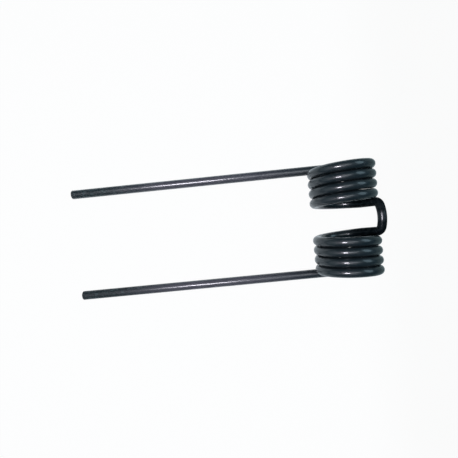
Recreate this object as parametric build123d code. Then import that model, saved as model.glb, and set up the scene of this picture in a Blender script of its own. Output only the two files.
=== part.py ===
from build123d import *
from math import atan, cos, degrees, pi, radians, sin
import os

# A double torsion spring, bent from one length of round wire.
# Both coils share the Y axis, with the origin on it, midway between them. The legs run to -X
# along the coils' lowest line, so the spring lies flat on its legs and the backs of its coils.
# The plane Y = 0 is a plane of symmetry. The wire is followed from one leg tip, through the leg,
# the coil and the arm, over the crown of the bridge, and back through the same shapes mirrored.

# Driving sizes, in millimetres and degrees
wire_diameter = 5.5
inside_diameter = 28.2  # of the coils
turn_gap = 0.12  # daylight between neighbouring turns
whole_turns = 4  # of each coil, counted from the lowest point, where its leg begins
leg_spacing = 64.8  # between the centrelines of the legs
leg_reach = 167.0  # from the coils' axis to the leg tips
leg_bend_radius = 180.0  # of the slight bend that sets a leg square to the coils' axis
departure_angle = 40.0  # winding past the whole turns, up to where the arm leaves the coil
arm_bend_radius = 60.0  # of the slight bend that sets an arm square to the coils' axis
arm_length = 8.0  # straight wire from that bend to the bridge's corner
corner_radius = 3.5  # of the wire's centreline, at both corners of the bridge
crown_sweep = 30.0  # angle of the arc in which the bridge bows outwards
tip_rounding = 0.5  # of the cropped ends

# Worked out from the driving sizes
wire_radius = wire_diameter / 2
coil_radius = (inside_diameter + wire_diameter) / 2
pitch = wire_diameter + turn_gap
slope = pitch / (2 * pi * coil_radius)  # axial travel per length of wire around the coil
slope_angle = degrees(atan(slope))
winding_angle = 360 * whole_turns + departure_angle
corner_angle = 90 - crown_sweep / 2


def leg_and_bend():
    """Leg, tip first, and the bend that joins it to the coil at the coil's lowest point."""
    sideways = leg_bend_radius * (1 - cos(radians(slope_angle)))
    level = Plane(origin=(0, leg_spacing / 2 - sideways, -coil_radius))
    bend = JernArc((0, 0), (-1, slope), leg_bend_radius, slope_angle)
    leg = Line(bend @ 1, (-leg_reach, sideways))
    return [level * leg, level * bend]


def coil(start):
    """Helix from its lowest point, start, towards Y = 0, turning away from the leg and up."""
    seat = Plane(origin=(0, start.Y, 0), x_dir=(0, 0, -1), z_dir=(0, -1, 0))
    return seat * Helix(pitch=pitch, height=pitch * winding_angle / 360, radius=coil_radius)


def bridge(start):
    """Arm and corner of one side, then the crown, in the plane that leaves the coil at start."""
    turn = radians(winding_angle)
    departure = Vector(cos(turn), 0, sin(turn))
    plane = Plane(origin=start, x_dir=departure, z_dir=departure.cross(Vector(0, -1, 0)))
    bend = JernArc((0, 0), (1, slope), arm_bend_radius, -slope_angle)
    arm = Line(bend @ 1, bend @ 1 + Vector(arm_length, 0))
    corner = JernArc(arm @ 1, arm % 1, corner_radius, corner_angle)
    half_width = start.Y - (corner @ 1).Y
    crown_radius = half_width / sin(radians(crown_sweep / 2))
    crown = JernArc(corner @ 1, corner % 1, crown_radius, crown_sweep)
    return [plane * bend, plane * arm, plane * corner], plane * crown


def centreline():
    """The whole wire's path, from one leg tip to the other."""
    leg, leg_bend = leg_and_bend()
    winding = coil(leg_bend @ 0)
    arm_and_corner, crown = bridge(winding @ 1)
    side = [leg, leg_bend, winding, *arm_and_corner]
    return Wire([*side, crown, *[edge.mirror(Plane.XZ) for edge in side]])


def torsion_spring():
    """Round wire carried along the centreline, with the edges of both cropped ends rounded."""
    path = centreline()
    section = Plane(origin=path @ 0, z_dir=path % 0) * Circle(wire_radius)
    spring = sweep(section, path=path)
    tips = spring.faces().sort_by(Axis.X)[:2]
    return fillet([tip.edge() for tip in tips], tip_rounding)


os.makedirs("parts", exist_ok=True)
export_step(torsion_spring(), "parts/torsion_spring.step")
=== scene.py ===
import bpy
import numpy as np
from math import atan, cos, hypot, pi, radians, sin
from mathutils import Euler, Matrix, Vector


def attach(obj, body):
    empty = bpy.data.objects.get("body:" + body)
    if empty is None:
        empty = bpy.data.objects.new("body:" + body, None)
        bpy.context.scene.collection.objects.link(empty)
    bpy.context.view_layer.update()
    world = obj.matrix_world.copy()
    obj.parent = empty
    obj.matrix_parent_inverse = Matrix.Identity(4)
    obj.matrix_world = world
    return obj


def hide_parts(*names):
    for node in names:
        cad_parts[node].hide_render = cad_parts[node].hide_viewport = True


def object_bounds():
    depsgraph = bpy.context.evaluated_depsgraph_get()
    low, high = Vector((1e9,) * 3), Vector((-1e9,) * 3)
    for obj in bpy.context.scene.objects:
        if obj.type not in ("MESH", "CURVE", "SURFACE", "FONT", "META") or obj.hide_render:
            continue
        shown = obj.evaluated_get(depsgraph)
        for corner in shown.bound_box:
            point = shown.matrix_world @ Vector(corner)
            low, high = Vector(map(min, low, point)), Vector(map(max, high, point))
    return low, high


# A double torsion spring of gloss black wire, lying on its legs on a white table. All lengths are in metres.
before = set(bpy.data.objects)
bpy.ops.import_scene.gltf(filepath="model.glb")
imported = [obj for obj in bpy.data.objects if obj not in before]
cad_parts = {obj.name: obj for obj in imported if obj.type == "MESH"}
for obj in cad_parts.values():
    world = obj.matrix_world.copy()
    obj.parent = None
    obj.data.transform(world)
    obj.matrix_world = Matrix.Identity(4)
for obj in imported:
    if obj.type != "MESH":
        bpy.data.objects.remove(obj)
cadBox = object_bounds()
scene = bpy.context.scene
plainWhite = (1.0, 1.0, 1.0, 1.0)
print("frame loaded")


# One output in a node tree. Arithmetic on it adds Math nodes.
class Socket:
    def __init__(self, tree, output=None):
        self.tree = tree
        self.output = output

    # Adds any node: its settings first, then the values and links of its sockets.
    def node(self, kind, settings=None, sockets=None, wanted=0):
        made = self.tree.nodes.new(kind)
        for name, value in (settings or {}).items():
            setattr(made, name, value)
        for name, value in (sockets or {}).items():
            if isinstance(value, Socket):
                self.tree.links.new(value.output, made.inputs[name])
            else:
                made.inputs[name].default_value = value
        return Socket(self.tree, made.outputs[wanted] if made.outputs else None)

    # another output of the same node
    def also(self, wanted):
        return Socket(self.tree, self.output.node.outputs[wanted])

    def maths(self, operation, *values):
        return self.node("ShaderNodeMath", {"operation": operation}, dict(enumerate(values)))

    def __add__(self, other):
        return self.maths("ADD", self, other)

    def __radd__(self, other):
        return self.maths("ADD", other, self)

    def __sub__(self, other):
        return self.maths("SUBTRACT", self, other)

    def __rsub__(self, other):
        return self.maths("SUBTRACT", other, self)

    def __mul__(self, other):
        return self.maths("MULTIPLY", self, other)

    def __rmul__(self, other):
        return self.maths("MULTIPLY", other, self)

    def __abs__(self):
        return self.maths("ABSOLUTE", self)

    # 0 as far as low, 1 from high on and smooth between. Where low is the greater, it rises the other way.
    def rise(self, low, high):
        return self.node("ShaderNodeMapRange", {"interpolation_type": "SMOOTHSTEP"},
                         {"Value": self, "From Min": low, "From Max": high})


def emptyTree(holder):
    holder.use_nodes = True
    holder.node_tree.nodes.clear()
    return Socket(holder.node_tree)


def noise(tree, vector, scale, detail, rough):
    return tree.node("ShaderNodeTexNoise", sockets={
        "Vector": vector, "Scale": scale, "Detail": detail, "Roughness": rough})


# 1 where the noise is past high, 0 where it is short of low
def noisePatches(tree, vector, scale, detail, rough, low, high):
    return noise(tree, vector, scale, detail, rough).rise(low, high)


def blendColour(tree, factor, first, second):
    return tree.node("ShaderNodeMix", {"data_type": "RGBA"}, {0: factor, 6: first, 7: second}, 2)


def meshObject(name, vertices, faces, uv=None):
    mesh = bpy.data.meshes.new(name)
    mesh.from_pydata(vertices.tolist(), [], faces)
    mesh.polygons.foreach_set("use_smooth", np.ones(len(faces), dtype=bool))
    if uv is not None:
        mesh.uv_layers.new(name="UVMap").data.foreach_set("uv", uv.astype(np.float32).ravel())
    mesh.update()
    made = bpy.data.objects.new(name, mesh)
    scene.collection.objects.link(made)
    return made


# The wire is followed from one leg tip through the leg, the coil and the arm, over the bridge, and back mirrored.
springSize = {
    "wireRadius": 0.00275,
    "coilRadius": 0.01685,  # of the wire's centreline
    "pitch": 0.00562,
    "winding": 1480.0,  # degrees, from the coil's lowest point to where the arm leaves it
    "legSpacing": 0.0648,  # between the centrelines of the legs
    "legReach": 0.167,  # from the coils' axis to the leg tips
    "legBend": 0.180,  # radius of the slight bend that sets a leg square to the coils' axis
    "armBend": 0.060,  # the same for an arm
    "arm": 0.008,  # straight wire from that bend to the bridge's corner
    "corner": 0.0035,  # radius of the centreline in the bridge's corners
    "crownSweep": 30.0,  # degrees of the arc in which the bridge bows outwards
    "tipRounding": 0.0005,
    "tipFlat": (0.05, 0.35, 0.6),  # rings on the flat of a tip, as shares of the wire's radius
    "tipSteps": 9,
    "legSteps": 70,
    "bendSteps": 6,
    "coilSteps": 419,
    "armSteps": 10,
    "cornerSteps": 22,
    "crownSteps": 14,
    "sides": 48,
}


# An arc: start + radius * (sin(t) * along + (1 - cos(t)) * toward), with t from 0 to turn. With it comes the way
# it runs, cos(t) * along + sin(t) * toward.
def arc(start, along, toward, radius, turn, steps):
    t = np.linspace(0.0, turn, steps + 1)[:, None]
    points = start + radius * (np.sin(t) * along + (1 - np.cos(t)) * toward)
    return points, np.cos(t) * along + np.sin(t) * toward


# A straight run: start + t * along, with t from 0 to length.
def straight(start, along, length, steps):
    t = np.linspace(0.0, length, steps + 1)[:, None]
    return start + t * along, np.repeat(along[None], steps + 1, axis=0)


# A helix about the Y axis from its lowest point: (radius * sin(t), y - rise * t, -radius * cos(t)), with t from 0
# to wound and rise the travel along the axis for each radian.
def helix(y, radius, rise, wound, steps):
    t = np.linspace(0.0, wound, steps + 1)
    points = np.stack([radius * np.sin(t), y - rise * t, -radius * np.cos(t)], axis=1)
    ways = np.stack([radius * np.cos(t), np.full_like(t, -rise), radius * np.sin(t)], axis=1)
    return (points, ways / hypot(radius, rise)), t


# The centreline from the tip of the +Y leg to the middle of the bridge, run by run: for each of its points the
# place, the way the wire runs there and the angle wound so far.
def halfCentreline(size):
    radius = size["coilRadius"]
    rise = size["pitch"] / (2 * pi)
    slope = atan(size["pitch"] / (2 * pi * radius))
    wound = radians(size["winding"])
    halfSweep = radians(size["crownSweep"] / 2)
    forward, inward = np.array([1.0, 0, 0]), np.array([0, -1.0, 0])
    leaving = np.array([cos(wound), 0, sin(wound)])
    runs = []

    def take(run, angle):
        runs.append((run[0], run[1], np.broadcast_to(angle, len(run[0]))))
        return run[0][-1], run[1][-1]

    at = np.array([-size["legReach"], size["legSpacing"] / 2, -radius])
    legLength = size["legReach"] - size["legBend"] * sin(slope)
    at, way = take(straight(at, forward, legLength, size["legSteps"]), 0.0)
    at, way = take(arc(at, forward, inward, size["legBend"], slope, size["bendSteps"]), 0.0)
    at, way = take(*helix(at[1], radius, rise, wound, size["coilSteps"]))
    aside = (leaving - way * cos(slope)) / sin(slope)
    at, way = take(arc(at, way, aside, size["armBend"], slope, size["bendSteps"]), wound)
    at, way = take(straight(at, leaving, size["arm"], size["armSteps"]), wound)
    at, way = take(arc(at, leaving, inward, size["corner"], pi / 2 - halfSweep, size["cornerSteps"]), wound)
    crownRadius = at[1] / sin(halfSweep)
    aside = sin(halfSweep) * inward - cos(halfSweep) * leaving
    take(arc(at, way, aside, crownRadius, halfSweep, size["crownSteps"]), wound)
    points, ways, angles = (np.concatenate([run[k] for run in runs]) for k in range(3))
    fresh = np.r_[True, np.linalg.norm(np.diff(points, axis=0), axis=1) > 1e-7]  # drops the doubled joins
    return points[fresh], ways[fresh], angles[fresh]


# The second half is the first mirrored in Y and run backwards.
def wholeCentreline(size):
    points, ways, angles = halfCentreline(size)
    flip = np.array([1.0, -1.0, 1.0])
    points = np.concatenate([points, (points * flip)[-2::-1]])
    ways = np.concatenate([ways, (-ways * flip)[-2::-1]])
    angles = np.concatenate([angles, angles[-2::-1]])
    return points, ways, angles


# The rings that close a tip, from its middle out: the flat ones, then a quarter round, where the ring at angle b
# lies rounding * (1 - sin(b)) in from the end and has the radius wire radius - rounding + rounding * cos(b).
def tipRings(size):
    radius, rounding, flat = size["wireRadius"], size["tipRounding"], np.array(size["tipFlat"])
    b = np.linspace(pi / 2, 0.0, size["tipSteps"])
    inset = np.r_[np.zeros(len(flat)), rounding * (1 - np.sin(b))]
    return inset, np.r_[radius * flat, radius - rounding + rounding * np.cos(b)]


# A tube about the centreline: centre + r * (cos(a) * out + sin(a) * across), where out points away from the coils'
# axis, across is square to it and to the wire, and r is the wire's radius except in the rings that close the tips.
def tubeMesh(size):
    points, ways, angles = wholeCentreline(size)
    radius, sides = size["wireRadius"], size["sides"]
    inset, tipRadii = tipRings(size)
    along = np.r_[0.0, np.cumsum(np.linalg.norm(np.diff(points, axis=0), axis=1))]
    clear = 1.5 * size["tipRounding"]
    body = (along > clear) & (along < along[-1] - clear)  # the rest is closed by the tips' rings
    count = len(inset)
    centres = np.concatenate([
        points[0] + inset[:, None] * ways[0], points[body], (points[-1] - inset[:, None] * ways[-1])[::-1]])
    ways = np.concatenate([np.repeat(ways[:1], count, 0), ways[body], np.repeat(ways[-1:], count, 0)])
    angles = np.concatenate([np.repeat(angles[:1], count), angles[body], np.repeat(angles[-1:], count)])
    radii = np.concatenate([tipRadii, np.full(body.sum(), radius), tipRadii[::-1]])
    lengths = np.concatenate([inset, along[body], (along[-1] - inset)[::-1]])
    out = np.stack([np.sin(angles), np.zeros_like(angles), -np.cos(angles)], axis=1)
    across = np.cross(ways, out)
    a = np.linspace(0.0, 2 * pi, sides, endpoint=False)
    ring = np.cos(a)[None, :, None] * out[:, None] + np.sin(a)[None, :, None] * across[:, None]
    vertices = (centres[:, None] + radii[:, None, None] * ring).reshape(-1, 3)
    rows = len(centres)
    i, j = np.meshgrid(np.arange(rows - 1), np.arange(sides), indexing="ij")
    k = (j + 1) % sides
    quads = np.stack([i * sides + j, i * sides + k, (i + 1) * sides + k, (i + 1) * sides + j], axis=-1)
    # texture coordinates: length along the wire, and length round it
    reach = np.stack([lengths[i], lengths[i], lengths[i + 1], lengths[i + 1]], axis=-1)
    turn = np.stack([j, j + 1, j + 1, j], axis=-1) * (2 * pi * radius / sides)
    uv = np.stack([reach, turn], axis=-1).reshape(-1, 2)
    caps = [list(range(sides))[::-1], list(range((rows - 1) * sides, rows * sides))]
    uv = np.concatenate([uv, np.zeros((sides, 2)), np.full((sides, 2), lengths[-1])])
    return vertices, quads.reshape(-1, 4).tolist() + caps, uv


spring = meshObject("torsion_spring_wire", *tubeMesh(springSize))
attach(spring, "root")
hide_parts("torsion_spring")
print("wire made,", len(spring.data.vertices), "points")


paintLook = {
    # colours, each with that of its worn patches
    "coil": (0.0026, 0.0058, 0.0076, 1.0),
    "coilWorn": (0.0048, 0.0078, 0.0096, 1.0),
    # painted sheen: the legs' paler lavender colours stand in for the key lamp's broad sheen on them, and fade out
    # towards the coils and the tips
    "leg": (0.0430, 0.0390, 0.0480, 1.0),
    "legWorn": (0.0530, 0.0490, 0.0580, 1.0),
    "tip": (0.0035, 0.0075, 0.0085, 1.0),
    "tipWorn": (0.0220, 0.0360, 0.0360, 1.0),
    "dust": (0.060, 0.066, 0.068, 1.0),
    "dustShare": 0.5,  # of its own colour in a speck of dust
    "specular": 0.40,
    "coatRoughness": 0.15,
    "grainDepth": 0.00030,
    "grainStretch": (60.0, 2600.0, 1.0),  # along the wire, and round it
    "grainNoise": (1.0, 3.0, 0.6),  # scale, detail and roughness
    # patches of noise: scale, detail and roughness, then the values of the noise between which a patch fades in
    "cloud": (110.0, 3.0, 0.5, 0.35, 0.65),
    "mottle": (420.0, 2.0, 0.5, 0.50, 0.66),
    "rubbed": (420.0, 3.0, 0.6, 0.42, 0.58),
    "speck": (900.0, 2.0, 0.6, 0.62, 0.74),
    "speckArea": (140.0, 2.0, 0.5, 0.45, 0.70),
    # where a place begins and where it is full, by x, y, z or the distance from Y = 0, as its name ends
    "coilsX": (-0.062, -0.010),
    "tipsX": (-0.102, -0.152),
    "dullSideY": (0.010, -0.010),
    "dullTipX": (-0.088, -0.118),
    "bridgeX": (0.0190, 0.0215),
    "armsX": (0.002, 0.009),  # the bridge counts as the arms' end
    "armsZ": (0.002, 0.0),
    "innerTurnY": (0.006, 0.009),
    "innerTurnZ": (-0.006, -0.010),
    "inwardFromY0": (0.0138, 0.0122),  # of both the arms and the inner turn
    "offMiddleFromY0": (0.0010, 0.0045),
    # what each of these is without its places and patches, and how much they change it
    "grain": {"plain": 1.0, "coils": -0.60, "innerTurn": -0.40},
    "dulled": {"plain": 0.45, "offMiddle": 0.40, "rubbed": 0.15},
    # painted shade: how far the hollow inside the coils is turned to near-black metal
    "paintedShade": {"plain": 0.30, "offMiddle": 0.45, "rubbed": 0.20},
    "roughness": {"plain": 0.44, "cloud": 0.06, "speck": 0.20, "dulled": 0.30, "innerTurn": -0.16,
                  "dullTip": 0.08, "brightLeg": -0.04},
    "gloss": {"plain": 0.98, "coils": -0.08, "tips": -0.12, "speck": -0.40, "dulled": -0.60,
              "dullLeg": -0.14, "dullTip": -0.40},
}


# A dark grained base under a smooth clear gloss. The -Y leg is duller than the +Y one, and dullest at its tip. The
# legs' base is paler and lavender, a painted sheen, and the hollow inside the coils is blackened with metal, a
# painted shade.
def blackPaint(look):
    material = bpy.data.materials.new("gloss_black_paint")
    tree = emptyTree(material)
    here = tree.node("ShaderNodeTexCoord", wanted="Object")
    x = tree.node("ShaderNodeSeparateXYZ", sockets={"Vector": here}, wanted="X")
    y, z = x.also("Y"), x.also("Z")
    fromY0 = abs(y)
    coils = x.rise(*look["coilsX"])
    tips = x.rise(*look["tipsX"])
    legs = 1.0 - coils
    dullLeg = legs * y.rise(*look["dullSideY"])
    brightLeg = legs - dullLeg
    dullTip = dullLeg * x.rise(*look["dullTipX"])
    bridge = x.rise(*look["bridgeX"])
    inward = fromY0.rise(*look["inwardFromY0"])
    arms = inward * x.rise(*look["armsX"]) * z.rise(*look["armsZ"])
    innerTurn = inward * y.rise(*look["innerTurnY"]) * z.rise(*look["innerTurnZ"])
    offMiddle = fromY0.rise(*look["offMiddleFromY0"])
    cloud = noisePatches(tree, here, *look["cloud"])
    mottle = noisePatches(tree, here, *look["mottle"])
    rubbed = noisePatches(tree, here, *look["rubbed"])
    speck = noisePatches(tree, here, *look["speck"]) * noisePatches(tree, here, *look["speckArea"])

    # painted sheen on the legs, patchy in tone, ending in the dark tips
    legColourWithPaintedSheen = blendColour(tree, cloud, look["leg"], look["legWorn"])
    legColourWithPaintedSheen = blendColour(tree, tips, legColourWithPaintedSheen, blendColour(tree, mottle, look["tip"], look["tipWorn"]))
    coilColour = blendColour(tree, cloud, look["coil"], look["coilWorn"])
    colour = blendColour(tree, coils, legColourWithPaintedSheen, coilColour)
    colour = blendColour(tree, speck * look["dustShare"], colour, look["dust"])

    # The tools that bent the bridge have dulled it, most of all away from its middle. Painted shade: the arms, the
    # bridge and the lower inner turns in the hollow between the coils are made metal over the near-black base,
    # which turns them almost black, most of all away from the middle of the bridge and patchy where rubbed.
    share = look["dulled"]
    dulled = bridge * (share["plain"] + offMiddle * share["offMiddle"] + rubbed * share["rubbed"])
    share = look["paintedShade"]
    paintedShade = arms * (share["plain"] + offMiddle * share["offMiddle"] + rubbed * share["rubbed"])
    share = look["roughness"]
    roughness = (share["plain"] + cloud * share["cloud"] + speck * share["speck"] + dulled * share["dulled"]
                 + innerTurn * share["innerTurn"] + dullTip * share["dullTip"] + brightLeg * share["brightLeg"])
    share = look["gloss"]
    gloss = (share["plain"] + coils * share["coils"] + tips * share["tips"] + speck * share["speck"]
             + dulled * share["dulled"] + dullLeg * share["dullLeg"] + dullTip * share["dullTip"])

    # drawing marks: noise stretched along the wire
    share = look["grain"]
    stretched = tree.node("ShaderNodeMapping", sockets={"Vector": here.also("UV"), "Scale": look["grainStretch"]})
    marks = noise(tree, stretched, *look["grainNoise"])
    grain = marks * (share["plain"] + coils * share["coils"] + innerTurn * share["innerTurn"])
    under = tree.node("ShaderNodeBump", sockets={"Strength": 1.0, "Distance": look["grainDepth"], "Height": grain})
    shader = tree.node("ShaderNodeBsdfPrincipled", sockets={
        "Base Color": colour,
        "Metallic": paintedShade,
        "Roughness": roughness,
        "Specular IOR Level": look["specular"],
        "Coat Weight": gloss * (1.0 - paintedShade),
        "Coat Roughness": look["coatRoughness"],
        "Normal": under,
    })
    tree.node("ShaderNodeOutputMaterial", sockets={"Surface": shader})
    return material


spring.data.materials.append(blackPaint(paintLook))
print("paint made")


floorLook = {
    "halfWidth": 3.0,
    "cameraGlow": 0.95,  # share of plain white in what the camera sees of it
    "glossGlow": 0.05,  # the same in what the paint reflects
    "near": (0.60, 0.65, 0.63, 1.0),  # the colour that the rest of the light meets
    "far": (0.16, 0.23, 0.22, 1.0),  # painted shade: the same, darker past the coils, on the +X side
    "turnsToPaintedShade": (0.00, 0.05),  # x where one becomes the other
}


def whiteFloor(look):
    h, z = look["halfWidth"], cadBox[0][2]
    corners = np.array([[-h, -h, z], [h, -h, z], [h, h, z], [-h, h, z]])
    floor = meshObject("studio_floor", corners, [[0, 1, 2, 3]])
    material = bpy.data.materials.new("white_table")
    tree = emptyTree(material)
    camera = tree.node("ShaderNodeLightPath", wanted="Is Camera Ray")
    seen = camera * look["cameraGlow"] + camera.also("Is Glossy Ray") * look["glossGlow"]
    here = tree.node("ShaderNodeTexCoord", wanted="Object")
    x = tree.node("ShaderNodeSeparateXYZ", sockets={"Vector": here}, wanted="X")
    paperWithPaintedShade = blendColour(tree, x.rise(*look["turnsToPaintedShade"]), look["near"], look["far"])
    matt = tree.node("ShaderNodeBsdfPrincipled", sockets={
        "Base Color": paperWithPaintedShade, "Roughness": 1.0, "Specular IOR Level": 0.0})
    white = tree.node("ShaderNodeEmission", sockets={"Color": plainWhite, "Strength": 1.0})
    both = tree.node("ShaderNodeMixShader", sockets={0: seen, 1: matt, 2: white})
    tree.node("ShaderNodeOutputMaterial", sockets={"Surface": both})
    floor.data.materials.append(material)


worldLook = {
    "light": (0.03, 0.09, 0.13, 1.0),  # what lights the spring; the camera sees plain white
}


def studioWorld(look):
    world = bpy.data.worlds.new("studio")
    scene.world = world
    tree = emptyTree(world)
    camera = tree.node("ShaderNodeLightPath", wanted="Is Camera Ray")
    light = tree.node("ShaderNodeBackground", sockets={"Color": look["light"], "Strength": 1.0})
    white = tree.node("ShaderNodeBackground", sockets={"Color": plainWhite, "Strength": 1.0})
    both = tree.node("ShaderNodeMixShader", sockets={0: camera, 1: light, 2: white})
    tree.node("ShaderNodeOutputWorld", sockets={"Surface": both})


# All the lamps are oval and face the spring. Spin turns one about its own aim, in degrees, and a brightness of 1
# looks white.
lamps = {
    "key": {"place": (-0.182, -0.03, 0.52), "size": (0.155, 0.125), "spin": 0.0, "brightness": 52.0,
            "colour": (1.0, 0.955, 1.06)},
    "tail": {"place": (0.22, 0.16, 1.50), "size": (1.10, 0.26), "spin": 22.0, "brightness": 2.6,
             "colour": (0.88, 1.0, 1.05)},
    "ceiling": {"place": (-0.12, 0.0, 1.60), "size": (1.60, 2.20), "spin": 0.0, "brightness": 0.45,
                "colour": (0.92, 1.0, 1.08)},
    "window": {"place": (1.55, 0.62, 1.05), "size": (1.00, 1.90), "spin": 0.0, "brightness": 1.9,
               "colour": (0.68, 0.95, 1.10)},
    "left_panel": {"place": (-1.60, 0.0, 0.80), "size": (1.2, 3.0), "spin": 0.0, "brightness": 0.34,
                   "colour": (0.84, 1.0, 1.04)},
}


# A flat lamp looks this bright when its power is pi * its area * brightness.
def addLamp(name, place, size, spin, brightness, colour):
    light = bpy.data.lights.new(name, "AREA")
    light.shape = "ELLIPSE"
    light.size, light.size_y = size
    area = pi * size[0] * size[1] / 4
    light.energy = pi * area * brightness
    light.color = colour
    made = bpy.data.objects.new(name, light)
    scene.collection.objects.link(made)
    back = np.array(place) / np.linalg.norm(place)
    side = np.cross((0.0, 1.0, 0.0), back)
    side /= np.linalg.norm(side)
    turned = Matrix(np.stack([side, np.cross(back, side), back], axis=1).tolist()).to_4x4()
    made.matrix_world = Matrix.Translation(place) @ turned @ Matrix.Rotation(radians(spin), 4, "Z")


cameraView = {
    "location": (-0.05035, 0.0025, 0.2319),
    "tilt": (-1.789, 1.639, -5.580),  # degrees about x, y and z, z first
    "lens": 30.91,
    "sensorWidth": 36.0,
    "shift": (-0.0437, 0.0175),
    "clipStart": 0.005,
}


def mainCamera(look):
    data = bpy.data.cameras.new("camera")
    data.sensor_fit = "HORIZONTAL"
    data.sensor_width = look["sensorWidth"]
    data.lens = look["lens"]
    data.shift_x, data.shift_y = look["shift"]
    data.clip_start = look["clipStart"]
    made = bpy.data.objects.new("camera", data)
    scene.collection.objects.link(made)
    turned = Euler([radians(angle) for angle in look["tilt"]], "ZYX").to_matrix().to_4x4()
    made.matrix_world = Matrix.Translation(look["location"]) @ turned
    scene.camera = made


whiteFloor(floorLook)
studioWorld(worldLook)
for lampName, lampFacts in lamps.items():
    addLamp(lampName, **lampFacts)
mainCamera(cameraView)
scene.view_settings.view_transform = "Standard"
print("studio made")
